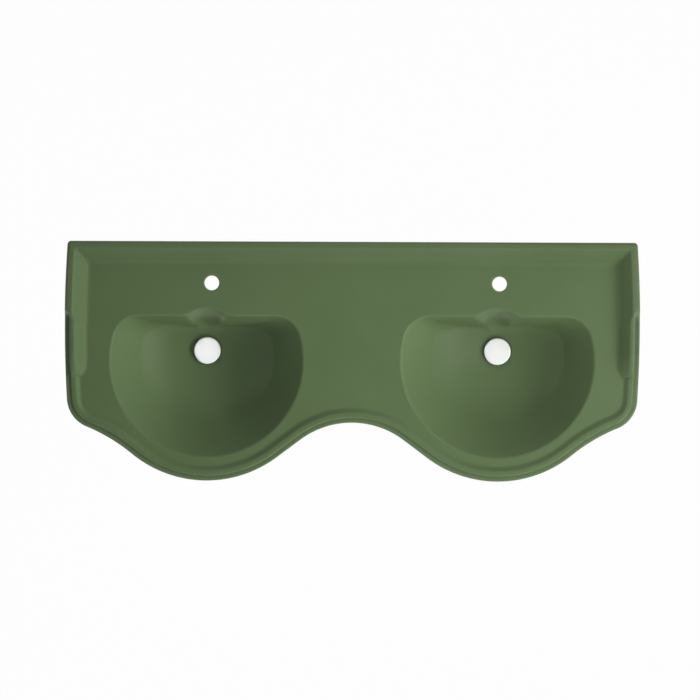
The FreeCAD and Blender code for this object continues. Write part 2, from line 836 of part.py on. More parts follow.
def waste_body(side):
    """Flange and threaded tail with a plain spigot and a cross for the cartridge."""
    corners = [
        ("tail_bore / 2", "0"),
        ("flange_diameter / 2", "0"),
        ("flange_diameter / 2", FLANGE_UNDERSIDE),
        ("tail_diameter / 2", FLANGE_UNDERSIDE),
        ("tail_diameter / 2", "(tail_diameter - spigot_diameter) / 2 - thread_length"),
        ("spigot_diameter / 2", "-thread_length"),
        ("spigot_diameter / 2", "-tail_length"),
        ("tail_bore / 2", "-tail_length"),
    ]
    body = turned(side, "waste_body", corners)
    prefix = f"{side}_waste"

    # Cross of two bars whose ends sink into the wall of the tail
    reach = "(tail_bore + tail_diameter) / 4"
    half = "cross_bar_width / 2"
    bar_foot = f"{CROSS_BOSS_FOOT} + (cross_boss_height - cross_bar_height) / 2"
    for name, wide, deep in (("bar_x", reach, half), ("bar_y", half, reach)):
        bar = body_sketch(body, f"{prefix}_{name}_plan", "XY_Plane", bar_foot)
        add_polygon(bar, [(f"-{wide}", f"-{deep}"), (wide, f"-{deep}"), (wide, deep), (f"-{wide}", deep)])
        padded(body, f"{prefix}_{name}", bar, "cross_bar_height")
    boss = body_sketch(body, f"{prefix}_boss_plan", "XY_Plane", CROSS_BOSS_FOOT)
    add_circle(boss, "cross_boss_diameter")
    padded(body, f"{prefix}_boss", boss, "cross_boss_height")

    bore = body_sketch(body, f"{prefix}_bore_plan", "XY_Plane", CROSS_BOSS_FOOT)
    add_circle(bore, "piston_diameter + 2 * fit_clearance")
    hole = body.newObject("PartDesign::Pocket", f"{prefix}_bore")
    hole.Profile = bore
    hole.Reversed = True
    tie(hole, "Length", "cross_boss_height")
    doc.recompute()
    return body


def tapered_washer(side):
    """Rubber seal with a nose that wedges between the tail and the ceramic."""
    corners = [
        (f"{TAIL_HOLE} / 2", SEAL_FOOT),
        ("seal_diameter / 2", SEAL_FOOT),
        ("seal_diameter / 2", CERAMIC_UNDERSIDE),
        ("waste_hole_diameter / 2 - fit_clearance", CERAMIC_UNDERSIDE),
        (f"({TAIL_HOLE} + waste_hole_diameter) / 4", f"{CERAMIC_UNDERSIDE} + seal_nose_height"),
        (f"{TAIL_HOLE} / 2", f"{CERAMIC_UNDERSIDE} + seal_nose_height"),
    ]
    return turned(side, "tapered_washer", corners)


def backnut(side):
    """Hexagon nut on the tail."""
    body = new_body(side, "backnut")
    plan = body_sketch(body, f"{side}_backnut_plan", "XY_Plane", f"{NUT_TOP} - nut_height")
    point = "nut_width / sqrt(3)"
    half_flat = "nut_width / (2 * sqrt(3))"
    flat = "nut_width / 2"
    corners = [
        (point, "0"), (half_flat, flat), (f"-{half_flat}", flat),
        (f"-{point}", "0"), (f"-{half_flat}", f"-{flat}"), (half_flat, f"-{flat}"),
    ]
    add_polygon(plan, corners)
    add_circle(plan, TAIL_HOLE)
    padded(body, f"{side}_backnut_block", plan, "nut_height")
    return body


def plug_cap(side):
    """White glazed cap: a low crown with a rounded edge, hollow below for the carrier."""
    edge_top = "cap_skirt_gap + cap_height - cap_crown"
    corners = [
        ("0", CARRIER_TOP),
        ("carrier_diameter / 2 + fit_clearance", CARRIER_TOP),
        ("carrier_diameter / 2 + fit_clearance", "cap_skirt_gap"),
        ("cap_diameter / 2", "cap_skirt_gap"),
        ("cap_diameter / 2", edge_top),
        ("0", "cap_skirt_gap + cap_height"),
    ]
    body = turned(side, "plug_cap", corners)
    names = edges_at(body.Tip.Shape, "cap_diameter / 2", edge_top)
    rounded(body, f"{side}_plug_cap_edge", body.Tip, names, "cap_edge_round")
    return body


def plug_carrier(side):
    """Plate under the cap, with a groove for the seal and a hub for the stem."""
    groove_outer = "plug_seal_diameter / 2"
    groove_inner = "plug_seal_diameter / 2 - plug_seal_width"
    groove_top = f"{CARRIER_FOOT} + seal_groove"
    corners = [
        ("0", STEM_TOP),
        ("stem_diameter / 2", STEM_TOP),
        ("stem_diameter / 2", HUB_FOOT),
        ("hub_diameter / 2", HUB_FOOT),
        ("hub_diameter / 2", CARRIER_FOOT),
        (groove_inner, CARRIER_FOOT),
        (groove_inner, groove_top),
        (groove_outer, groove_top),
        (groove_outer, CARRIER_FOOT),
        ("carrier_diameter / 2", CARRIER_FOOT),
        ("carrier_diameter / 2", CARRIER_TOP),
        ("0", CARRIER_TOP),
    ]
    return turned(side, "plug_carrier", corners)


def plug_stem(side):
    """Rod that carries the plug, with the piston that slides in the cartridge."""
    corners = [
        ("0", PISTON_FOOT),
        ("piston_diameter / 2", PISTON_FOOT),
        ("piston_diameter / 2", PISTON_TOP),
        ("stem_diameter / 2", PISTON_TOP),
        ("stem_diameter / 2", STEM_TOP),
        ("0", STEM_TOP),
    ]
    return turned(side, "plug_stem", corners)


def click_cartridge(side):
    """Guide tube of the plug, with a stud below that screws into the cross."""
    corners = [
        ("0", CROSS_BOSS_FOOT),
        ("piston_diameter / 2", CROSS_BOSS_FOOT),
        ("piston_diameter / 2", CARTRIDGE_FOOT),
        ("cartridge_diameter / 2", CARTRIDGE_FOOT),
        ("cartridge_diameter / 2", COLLAR_FOOT),
        (f"{CARTRIDGE_BORE} / 2", COLLAR_FOOT),
        (f"{CARTRIDGE_BORE} / 2", SPRING_FOOT),
        ("0", SPRING_FOOT),
    ]
    return turned(side, "click_cartridge", corners)


def arc_middle(start, heading, end):
    """Middle of the arc that leaves start along a heading and passes through end."""
    chord = end - start
    lean = heading - chord * (heading.dot(chord) / chord.dot(chord))
    bend = math.atan2(lean.Length, heading.dot(chord) / chord.Length)
    return (start + end) * 0.5 + lean.normalize() * (chord.Length / 2 * math.tan(bend / 2))


def click_spring(side):
    """Compression spring under the piston: round wire on tangent arcs, two for each quarter turn."""
    wire_r = size("spring_wire / 2")
    radius = size("(spring_diameter - spring_wire) / 2")
    turns = size("spring_turns")
    foot = size(SPRING_FOOT) + wire_r
    pitch = (size("spring_length") - 2 * wire_r) / turns
    gap = pitch * math.cos(math.atan(pitch / (2 * math.pi * radius))) - 2 * wire_r
    print(f"{side}_click_spring: least gap between turns {gap:.2f} mm")

    def place(turn):
        angle = 2 * math.pi * turn
        return Vector(radius * math.cos(angle), radius * math.sin(angle), foot + pitch * turn)

    def heading(turn):
        angle = 2 * math.pi * turn
        slope = Vector(-radius * math.sin(angle), radius * math.cos(angle), pitch / (2 * math.pi))
        return slope.normalize()

    edges = []
    count = int(4 * turns)
    for index in range(count):
        first, last = index / 4, (index + 1) / 4
        start, end = place(first), place(last)
        leave, arrive = heading(first), heading(last)
        chord = end - start
        spread = 2 * (1 - leave.dot(arrive))
        lean = chord.dot(leave + arrive)
        reach = (math.sqrt(lean**2 + spread * chord.dot(chord)) - lean) / spread
        joint = (start + leave * reach + end - arrive * reach) * 0.5
        edges.append(Part.Arc(start, arc_middle(start, leave, joint), joint).toShape())
        edges.append(Part.Arc(joint, arc_middle(end, arrive * -1, joint), end).toShape())
    section = Part.Wire(Part.makeCircle(wire_r, place(0), heading(0)))
    coil = doc.addObject("Part::Feature", f"{side}_click_spring")
    coil.Label = f"{side}_click_spring"
    coil.Shape = Part.Wire(edges).makePipeShell([section], True, False)
    seat(coil, side)
    return coil


def waste(side):
    """Every piece of one push waste."""
    return [
        waste_body(side),
        ring(side, "flange_gasket", "flange_diameter", TAIL_HOLE,
             f"{FLANGE_UNDERSIDE} - gasket_thickness", FLANGE_UNDERSIDE),
        tapered_washer(side),
        ring(side, "slip_washer", "slip_washer_diameter", TAIL_HOLE, NUT_TOP, SEAL_FOOT),
        backnut(side),
        click_cartridge(side),
        ring(side, "click_collar", "cartridge_diameter", "(stem_diameter + 2 * slide_clearance)",
             COLLAR_FOOT, COLLAR_TOP),
        click_spring(side),
        plug_stem(side),
        plug_carrier(side),
        ring(side, "plug_seal", "plug_seal_diameter", "(plug_seal_diameter - 2 * plug_seal_width)",
             "plug_gap", "plug_gap + plug_seal_thickness"),
        plug_cap(side),
    ]


pieces = [ceramic_basin()]
for side_name in SIDES:
    pieces += waste(side_name)
doc.recompute()

for item in doc.Objects:
    if {"Invalid", "Error"} & set(item.State):
        raise RuntimeError(f"{item.Name}: {item.State}")
for piece in pieces:
    if piece.Shape.isNull() or not piece.Shape.isValid() or len(piece.Shape.Solids) != 1:
        raise RuntimeError(f"{piece.Label}: the shape is not one valid solid")

os.makedirs("parts", exist_ok=True)
for piece in pieces:
    piece.Shape.exportStep(f"parts/{piece.Label}.step")
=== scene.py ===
import json
import math

import bmesh
import bpy
import numpy as np
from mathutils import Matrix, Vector
from mathutils.geometry import tessellate_polygon


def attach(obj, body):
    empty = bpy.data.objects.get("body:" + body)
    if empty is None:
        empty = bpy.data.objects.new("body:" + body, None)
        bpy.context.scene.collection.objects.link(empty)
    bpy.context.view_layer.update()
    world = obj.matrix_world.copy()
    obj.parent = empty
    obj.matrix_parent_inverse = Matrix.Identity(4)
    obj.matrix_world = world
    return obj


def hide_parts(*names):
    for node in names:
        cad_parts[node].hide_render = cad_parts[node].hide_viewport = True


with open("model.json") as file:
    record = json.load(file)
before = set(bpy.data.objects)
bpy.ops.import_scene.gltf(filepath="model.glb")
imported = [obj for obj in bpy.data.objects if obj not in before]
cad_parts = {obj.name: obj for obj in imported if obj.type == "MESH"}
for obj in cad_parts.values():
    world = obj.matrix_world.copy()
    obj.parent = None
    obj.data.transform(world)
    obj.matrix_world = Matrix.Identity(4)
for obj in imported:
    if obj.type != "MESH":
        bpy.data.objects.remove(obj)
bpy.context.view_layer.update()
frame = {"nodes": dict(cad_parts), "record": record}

MM = 0.001
CREASE = math.radians(38.0)
# Points nearer than this are one, and edges shorter than this go, in metres
WELD, SLIVER = 2e-6, 1e-7

# Plan outline: bowed sides, round front corners, hollow shoulders, and two bulges with a hollow between them
HALF_WIDTH = 685.0
DEPTH = 570.0
BOWL_X = 347.0
BULGE_R = 280.0
FRONT_HOLLOW = 139.0
FLANK = 70.0
SHOULDER_R = 430.0
CORNER_R = 76.0
CORNER_SETBACK = 198.0
BOW_R = 2950.0
WIDEST = 199.0
WALL_CORNER_R = 9.0
INNER_CORNER_R = 7.0

# Columns along the half outline: wall, wall corner, side, front corner, shoulder, bulge, flank and hollow
RIM_COLUMNS = [30, 10, 176, 34, 22, 60, 6, 24]

# Moulded edge: insets from the outline, heights over the deck, and depths from the wall where the steps lie
UPSTAND = 36.0
UPSTAND_FOOT, RIM_FOOT = 50.0, 33.0
UPSTAND_RIDGE, STEP_RIDGE = 17.0, 23.0
FIRST_STEP = (160.0, 182.0)
FOOT_END = (268.0, 319.0)
# How far the outer top edge steps after the inner one, and how much gentler the inner slope is at the rim
OUTER_LAG = 4.0
RIM_EASE = 0.3
TOP_INSETS = (10.0, 12.0)
LIP_WIDTH, LIP_HEIGHT = 11.0, 4.5
LIP_GROOVE, GROOVE_RUN = 0.8, 1.5
# Where the inner slope bends, as shares of its run and height, and the flat bands inside its foot
SLOPE_BREAK, BREAK_HEIGHT = 0.6, 0.45
UPSTAND_BAND, RIM_BAND = 18.0, 9.0

# Corners of that profile from the underside to the deck: cut at the upstand and at the rim, largest share of
# a side that the cut takes, rows of the curve, and even rows on the run before it
EDGE_CORNERS = [
    (2.0, 2.0, 0.48, 4, 1),
    (3.0, 3.0, 0.48, 5, 1),
    (8.0, 4.2, 0.85, 9, 2),
    (2.5, 2.5, 0.48, 6, 1),
    (4.0, 4.0, 0.48, 8, 1),
    (4.0, 4.0, 0.48, 9, 1),
    (8.0, 8.0, 0.48, 6, 1),
    (10.0, 6.0, 0.85, 10, 1),
]

# Underside
DECK_THICKNESS = 16.0
APRON_WALL = 13.0
APRON, WALL_PANEL = 60.0, 150.0
APRON_RISE = (15.0, 190.0)

# Bowls: the ring at the edge, the ring round the floor, and how the wall leads from one to the other
BOWL_DEPTH = 115.0
BOWL_WALL = 12.0
EDGE_ROUND, EDGE_MARGIN = 4.5, 2.5
# Slopes of wall and floor, the softness of the bend between them, and the angles over which it softens
WALL_FALL, FLOOR_FALL = 1.74, 0.15
BEND, FRONT_BEND = 0.18, 0.33
FRONT_TURN = (-0.2, 1.2)
# Power by which the back is ahead, and the fall of the floor towards the waste
BACK_LEAD = 3.3
DISH = 1.5
# Rounding of the back wall's foot: its first row, its passes, and the sines between which it comes in
FOOT_ROW, FOOT_PASSES = 14, 140
FOOT_SPAN = (-0.6, 0.9)
# Rings: radius of the round front, depths of front and back from the wall, radius of the back corners, the
# scallop's reach behind the back and its radius, and the radius of the hollows beside it
EDGE = dict(radius=230.0, front=514.0, back=177.5, corner=62.0, reach=17.5, scallop=70.0, shoulder=50.0)
FLOOR = dict(radius=58.0, front=312.0, back=200.0, corner=30.0, reach=2.0, scallop=24.0, shoulder=10.0)
# Columns round a bowl: corner, back, shoulder, scallop, shoulder, back, corner and round front
BOWL_COLUMNS = [22, 8, 9, 16, 9, 8, 22, 132]
# Rows over the rounded edge, down the inside and up the outside, and the share of the way at the first ring
EDGE_ROWS, INSIDE_ROWS, OUTSIDE_ROWS = 11, 44, 24
FIRST_SHARE = 0.12

# Waste hole: recess, hole and boss, with the boss's bevel, the bevel's middle and the fillet where it joins
WASTE_Y = -260.0
RECESS_R, RECESS = 33.5, 4.5
HOLE_R = 23.0
BOSS_R, BOSS = 46.0, 32.0
BOSS_BEVEL, BEVEL_MIDDLE, BOSS_FILLET = 2.0, 0.6, 3.0
# Rows that lead into the recess, as distances out from it and up from the floor: dish and rounded edge
DISH_ROWS = [(10.0, 0.8), (7.5, 0.1), (4.5, -0.7), (1.6, -1.2)]
RECESS_EDGE = [(0.5, -1.6), (0.0, -2.5)]

# Tap holes with the flat margins round them, and wall bolt holes with the ends of their bores
TAP_R, TAP_Y, TAP_ROUND = 17.5, -99.0, 3.0
TAP_MARGINS = (6.0, 3.0)
TAP_X = {-1: -335.3, 1: 350.5}
TAP_COLUMNS, TAP_ROWS = 56, 6
BOLT_R, BOLT_PITCH, BOLT_DROP = 7.0, 280.0, 95.0
BOLT_ENDS = (-25.0, 6.0)
BOLT_COLUMNS = 40

# Caps of the plugs: radius, heights of foot, hollow and top over the floor, radius of the hollow, fall of the
# dome, round of the edge with the angle at which it starts, and bevel of the foot
CAP_R = 32.0
CAP_FOOT, CAP_PLATE, CAP_TOP = 0.9, 5.3, 10.5
CAP_HOLLOW_R = 27.1
CAP_CROWN, CAP_ROUND, ROUND_START = 1.5, 3.2, 0.12
CAP_BEVEL = 0.6
CAP_COLUMNS, DOME_ROWS, ROUND_ROWS = 96, 12, 8

# Glaze mark: half curvature, per metre, at which it has thinned or pooled nearly all it will, the passes that
# even this out, and how much painted light makes a steep wall paler
# Thinning over edges and pooling in hollows is partly real glaze and partly painted highlight and painted
# shade
GLAZE_BEND = 200.0
GLAZE_PASSES = 2
# Painted light: steep walls are painted paler, standing in for light bounced inside the bowls
PAINTED_WALL_LIGHT = 0.32
STEEPNESS = (0.05, 0.5)


# Small helpers

def ease(share):
    """Smooth step from 0 to 1 as the share goes from 0 to 1."""
    share = np.clip(share, 0.0, 1.0)
    return share * share * (3.0 - 2.0 * share)


def ramp(value, limits):
    """Smooth step as a value goes from the first limit to the second."""
    return ease((value - limits[0]) / (limits[1] - limits[0]))


def swing(first, last, share):
    """Angle on the short way from first to last."""
    return first + ((last - first + np.pi) % (2.0 * np.pi) - np.pi) * share


def heading(start, end):
    """Angle of the way from one point to another."""
    return math.atan2(end[1] - start[1], end[0] - start[0])


def shares(counts, closed):
    """Piece number and share along its piece for every column of a chain of curves."""
    piece = np.repeat(np.arange(len(counts)), counts)
    share = np.concatenate([np.arange(count) / count for count in counts])
    if not closed:
        piece = np.append(piece, len(counts) - 1)
        share = np.append(share, 1.0)
    return piece, share


def lattice(rows, columns, closed):
    """Quads of a grid whose points are numbered row by row; closed joins the last column to the first."""
    spans = columns if closed else columns - 1
    row, column = np.meshgrid(np.arange(rows - 1), np.arange(spans), indexing="ij")
    after = (column + 1) % columns
    quads = np.stack([row * columns + column, row * columns + after,
                      (row + 1) * columns + after, (row + 1) * columns + column], axis=-1)
    return quads.reshape(-1, 4)


# Outline of the basin

BOW = np.array([HALF_WIDTH - BOW_R, -WIDEST])
FRONT_Y = CORNER_SETBACK - DEPTH
FRONT = np.array([BOW[0] + math.sqrt((BOW_R - CORNER_R) ** 2 - (FRONT_Y - BOW[1]) ** 2), FRONT_Y])
BULGE = np.array([BOWL_X, BULGE_R - DEPTH])
VALLEY_R = (BOWL_X**2 + (BULGE_R - FRONT_HOLLOW) ** 2 - BULGE_R**2 - FLANK**2) / (2.0 * FRONT_HOLLOW)
VALLEY = np.array([0.0, FRONT_HOLLOW - DEPTH - VALLEY_R])


def shoulder_centre():
    """Centre of the hollow shoulder, which touches the bulge and the front corner from outside."""
    reach, other = BULGE_R + SHOULDER_R, CORNER_R + SHOULDER_R
    span = FRONT - BULGE
    length = np.linalg.norm(span)
    along = (reach**2 - other**2 + length**2) / (2.0 * length)
    across = math.sqrt(reach**2 - along**2)
    return BULGE + span / length * along + np.array([span[1], -span[0]]) / length * across


SHOULDER = shoulder_centre()
GAP = VALLEY - BULGE
FLANK_ANGLE = heading(BULGE, VALLEY) + math.acos((BULGE_R + VALLEY_R) / np.linalg.norm(GAP))
RIM_PIECE, RIM_SHARE = shares(RIM_COLUMNS, closed=False)


def rim_curve(inset):
    """Points of the right half of the outline, moved inwards by an inset given for every column.

    The half runs from the middle of the wall through the wall corner, the bowed side, the front corner, the
    hollow shoulder, the bulge and the flank to the middle of the front: lines, and arcs centre + radius x
    (cos, sin) whose radii take the inset off or add it.
    """
    share = RIM_SHARE
    corner = np.maximum(WALL_CORNER_R - inset, INNER_CORNER_R)
    wall_y = -inset - corner
    reach = np.sqrt((BOW_R - inset - corner) ** 2 - (wall_y - BOW[1]) ** 2)
    wall_x = BOW[0] + reach
    lean = np.arctan2(wall_y - BOW[1], reach)

    def arc(centre, radius, first, last):
        angle = swing(first, last, share)
        return centre[0] + radius * np.cos(angle), centre[1] + radius * np.sin(angle)

    normal = np.array([math.cos(FLANK_ANGLE), math.sin(FLANK_ANGLE)])
    flank = [(BULGE[axis] + normal[axis] * (BULGE_R - inset)) * (1.0 - share)
             + (VALLEY[axis] - normal[axis] * (VALLEY_R + inset)) * share for axis in (0, 1)]
    chain = [
        (wall_x * share, -inset + 0.0 * share),
        arc((wall_x, wall_y), corner, np.pi / 2.0, lean),
        arc(BOW, BOW_R - inset, lean, heading(BOW, FRONT)),
        arc(FRONT, CORNER_R - inset, heading(BOW, FRONT), heading(FRONT, SHOULDER)),
        arc(SHOULDER, SHOULDER_R + inset, heading(SHOULDER, FRONT), heading(SHOULDER, BULGE)),
        arc(BULGE, BULGE_R - inset, heading(BULGE, SHOULDER), FLANK_ANGLE),
        flank,
        arc(VALLEY, VALLEY_R + inset, FLANK_ANGLE + np.pi, np.pi / 2.0),
    ]
    return np.choose(RIM_PIECE, [x for x, _ in chain]), np.choose(RIM_PIECE, [y for _, y in chain])


# Moulded edge: a rounded profile carried along the outline

def rounded(points, corners):
    """Rows of points along broken lines whose corners are rounded, for all columns at once.

    Each inner corner becomes the curve (1-t)^2 a + 2t(1-t) corner + t^2 b between two points a and b, one cut
    away from the corner on either side. A corner gives its cut, the largest share of the sides beside it that
    the cut may take, the rows of the curve and the even rows on the straight run before it.
    """
    rows = [points[0]]
    for corner, (cut, limit, count, fill) in enumerate(corners, start=1):
        back = points[corner - 1] - points[corner]
        ahead = points[corner + 1] - points[corner]
        back_length = np.linalg.norm(back, axis=-1, keepdims=True)
        ahead_length = np.linalg.norm(ahead, axis=-1, keepdims=True)
        cut = np.minimum(cut, limit * np.minimum(back_length, ahead_length))
        first = points[corner] + back / back_length * cut
        last = points[corner] + ahead / ahead_length * cut
        start = rows[-1]
        rows += [start + (first - start) * step / (fill + 1) for step in range(1, fill + 1)]
        for t in np.linspace(0.0, 1.0, count):
            rows.append((1.0 - t) ** 2 * first + 2.0 * t * (1.0 - t) * points[corner] + t**2 * last)
    rows.append(points[-1])
    return np.stack(rows)


def edge_strip():
    """Points of the moulded edge of the right half, from the underside over the apron and rim to the deck.

    Profile corners are pairs of inset and height. The inner slope keeps its steepness over the first step, so
    the top comes down as the ridge moves inwards, and runs out into the gentler slope of the front rim as its
    foot moves outwards along a quarter of an ellipse. A lip comes out of the outer face at the first step.
    """
    depth = -rim_curve(np.zeros_like(RIM_SHARE))[1]

    def inner_slope(at):
        run_out = np.clip((at - FOOT_END[0]) / (FOOT_END[1] - FOOT_END[0]), 0.0, 1.0)
        foot = RIM_FOOT + (UPSTAND_FOOT - RIM_FOOT) * np.sqrt(1.0 - run_out**2)
        ridge = UPSTAND_RIDGE + (STEP_RIDGE - UPSTAND_RIDGE) * ramp(at, FIRST_STEP)
        steepness = UPSTAND / (UPSTAND_FOOT - UPSTAND_RIDGE) * (1.0 - RIM_EASE * run_out)
        return foot, ridge, steepness * (foot - ridge)

    lip = ramp(depth, FIRST_STEP)

    def along_rim(upstand, rim):
        return upstand + (rim - upstand) * lip

    foot, ridge, inner = inner_slope(depth)
    outer = inner_slope(depth - OUTER_LAG)[2]
    bottom = np.interp(depth, APRON_RISE, (WALL_PANEL, APRON))
    corners = [
        (APRON_WALL, -DECK_THICKNESS),
        (APRON_WALL, -bottom),
        (0.0, -bottom),
        (0.0, along_rim(outer, LIP_HEIGHT)),
        (along_rim(TOP_INSETS[0], LIP_WIDTH), along_rim(outer, LIP_HEIGHT - LIP_GROOVE)),
        (along_rim(TOP_INSETS[1], LIP_WIDTH + GROOVE_RUN), outer),
        (ridge, inner),
        (ridge + SLOPE_BREAK * (foot - ridge), inner * BREAK_HEIGHT),
        (foot, 0.0),
        (foot + along_rim(UPSTAND_BAND, RIM_BAND), 0.0),
    ]
    points = np.zeros((len(corners), len(depth), 2))
    for number, (inset, height) in enumerate(corners):
        points[number, :, 0] = inset
        points[number, :, 1] = height
    cuts = [(along_rim(upstand, rim)[:, None], *rest) for upstand, rim, *rest in EDGE_CORNERS]
    rows = rounded(points, cuts)
    x, y = rim_curve(rows[..., 0])
    return np.stack([x, y, rows[..., 1]], axis=-1)


# Bowls: rings of one D-shaped curve that draws in from the edge to the floor

BOWL_PIECE, BOWL_SHARE = shares(BOWL_COLUMNS, closed=True)


def bowl_ring(radius, front, back, corner, reach, scallop, shoulder):
    """Ring of the bowl, relative to its middle plane, for columns of sizes that have one row per ring.

    Round front, straight back with round corners, and in the middle of the back a scallop between two hollow
    shoulders; all pieces are arcs or lines that touch without a kink.
    """
    share = BOWL_SHARE
    centre_y = radius - front
    corner_y = -back - corner
    corner_x = np.sqrt((radius - corner) ** 2 - (corner_y - centre_y) ** 2)
    touch = scallop + shoulder
    shoulder_x = np.sqrt(touch**2 - (touch - reach) ** 2)
    shoulder_y = shoulder - back
    scallop_y = reach - scallop - back
    start = np.arctan2(corner_y - centre_y, corner_x)
    fan = np.arctan2(shoulder_y - scallop_y, shoulder_x)

    def arc(x, y, size, angle):
        return x + size * np.cos(angle), y + size * np.sin(angle)

    level = 0.0 * share
    chain = [
        arc(corner_x, corner_y, corner, swing(start, np.pi / 2.0, share)),
        (corner_x + (shoulder_x - corner_x) * share, level - back),
        arc(shoulder_x, shoulder_y, shoulder, swing(-np.pi / 2.0, fan - np.pi, share)),
        arc(0.0, scallop_y, scallop, fan + (np.pi - 2.0 * fan) * share),
        arc(-shoulder_x, shoulder_y, shoulder, swing(-fan, -np.pi / 2.0, share)),
        (-shoulder_x + (shoulder_x - corner_x) * share, level - back),
        arc(-corner_x, corner_y, corner, swing(np.pi / 2.0, np.pi - start, share)),
        arc(0.0, centre_y, radius, np.pi - start + (np.pi + 2.0 * start) * share),
    ]
    return np.choose(BOWL_PIECE, [x for x, _ in chain]), np.choose(BOWL_PIECE, [y for _, y in chain])


def fall(share, bend):
    """Share of the depth reached at a share of the way in: a wall slope that bends into a floor slope.

    The lesser of two straight lines, half their sum less half the root of their difference squared plus the
    bend squared, brought to 0 at the edge and 1 at the floor.
    """

    def lesser(at):
        wall = WALL_FALL * at
        floor = 1.0 - FLOOR_FALL + FLOOR_FALL * at
        return (wall + floor - np.hypot(wall - floor, bend)) / 2.0

    return (lesser(share) - lesser(0.0)) / (lesser(1.0) - lesser(0.0))


def bowl_rings(share, grown, depth):
    """Rings at shares of the way from edge to floor, grown outwards by a margin, as rows of points.

    Each size of the ring goes evenly from its value at the edge to that at the floor, but the back is ahead,
    by the share 1 - (1 - share)^lead. Heights follow the fall, whose bend is softer towards the front.
    """
    share = np.asarray(share, dtype=float)[:, None]
    sign = dict(radius=1.0, front=1.0, back=-1.0, corner=1.0, reach=0.0, scallop=1.0, shoulder=0.0)
    ahead = 1.0 - (1.0 - share) ** BACK_LEAD
    sizes = {}
    for name in EDGE:
        way = ahead if name == "back" else share
        sizes[name] = EDGE[name] + (FLOOR[name] - EDGE[name]) * way + sign[name] * grown
    x, y = bowl_ring(**sizes)
    forward = ramp(np.arctan2(WASTE_Y - y, np.abs(x)), FRONT_TURN)
    bend = BEND + (FRONT_BEND - BEND) * forward
    return np.stack([x, y, -depth * fall(share, bend)], axis=-1)


def bowl_edge(first_ring):
    """Flat margin on the deck, then the rounded edge, which leads towards the first ring of the wall.

    The rounding is the curve (1-t)^2 a + 2t(1-t) edge + t^2 b from a point a on the deck to b on the wall.
    """
    growths = (EDGE_ROUND + EDGE_MARGIN, EDGE_ROUND, 0.0)
    margin, deck, edge = [bowl_rings([0.0], grown, 0.0) for grown in growths]
    way = first_ring - edge
    wall = edge + way * EDGE_ROUND / np.linalg.norm(way, axis=-1, keepdims=True)
    turn = np.linspace(0.0, 1.0, EDGE_ROWS)[:, None, None]
    rounding = (1.0 - turn) ** 2 * deck + 2.0 * turn * (1.0 - turn) * edge + turn**2 * wall
    return np.concatenate([margin, rounding])


def waste_hole(around):
    """Circles radius x (cos, sin) round the waste: dish, recess, hole, and boss up to the bowl's outside."""
    floor, recess, foot = -BOWL_DEPTH, -BOWL_DEPTH - RECESS, -BOWL_DEPTH - BOSS
    under = -BOWL_DEPTH - BOWL_WALL
    lead = [(RECESS_R + out, floor + up) for out, up in DISH_ROWS + RECESS_EDGE]
    seat = [(RECESS_R, recess), (HOLE_R, recess), (HOLE_R, foot)]
    boss = [(BOSS_R - BOSS_BEVEL, foot), (BOSS_R - BEVEL_MIDDLE, foot + BEVEL_MIDDLE),
            (BOSS_R, foot + BOSS_BEVEL), (BOSS_R, under - BOSS_FILLET), (BOSS_R + BOSS_FILLET, under)]
    radius, height = np.array(lead + seat + boss).T[:, :, None]
    across = radius * np.cos(around)
    along = WASTE_Y + radius * np.sin(around)
    return np.stack([across, along, np.broadcast_to(height, across.shape)], axis=-1)


def round_foot(rows, around):
    """Rounds the foot of the back wall: draws each point halfway to the middle of its neighbours, many times.

    The rows change in place, by a weight that comes in with the sine of the angle round the waste.
    """
    back = ramp(np.sin(around), FOOT_SPAN)[:, None]
    for _ in range(FOOT_PASSES):
        middle = (rows[:-2] + rows[2:]) / 2.0
        rows[1:-1] += 0.5 * back * (middle - rows[1:-1])


def bowl_outside():
    """Rings of the outside, from its foot up to the share of the way at which it meets the deck."""
    whole = BOWL_DEPTH + BOWL_WALL
    fine = np.linspace(0.0, 1.0, 2001)
    top_share = np.interp(DECK_THICKNESS / whole, fall(fine, BEND), fine)
    outside = bowl_rings(np.linspace(1.0, top_share, OUTSIDE_ROWS), BOWL_WALL, whole)
    outside[-1, :, 2] = -DECK_THICKNESS
    return outside


def bowl_sheet():
    """Points of the right-hand bowl: from the deck down the inside, through the waste, up the outside."""
    inside = bowl_rings(np.linspace(FIRST_SHARE, 1.0, INSIDE_ROWS), 0.0, BOWL_DEPTH - DISH)
    edge = bowl_edge(inside[:1])
    around = np.arctan2(inside[-1, :, 1] - WASTE_Y, inside[-1, :, 0])
    rows = np.concatenate([inside, waste_hole(around)])
    round_foot(rows[FOOT_ROW:INSIDE_ROWS + len(DISH_ROWS)], around)
    return np.concatenate([edge, rows, bowl_outside()]) + (BOWL_X, 0.0, 0.0)


def turned_sheet(profile, columns, x, y):
    """Points of a surface of revolution round an upright axis: rows of radius and height, turned evenly."""
    profile = np.asarray(profile)
    angle = 2.0 * np.pi * np.arange(columns) / columns
    across = x + profile[:, :1] * np.cos(angle)
    along = y + profile[:, :1] * np.sin(angle)
    return np.stack([across, along, np.broadcast_to(profile[:, 1:], across.shape)], axis=-1)


# Meshes

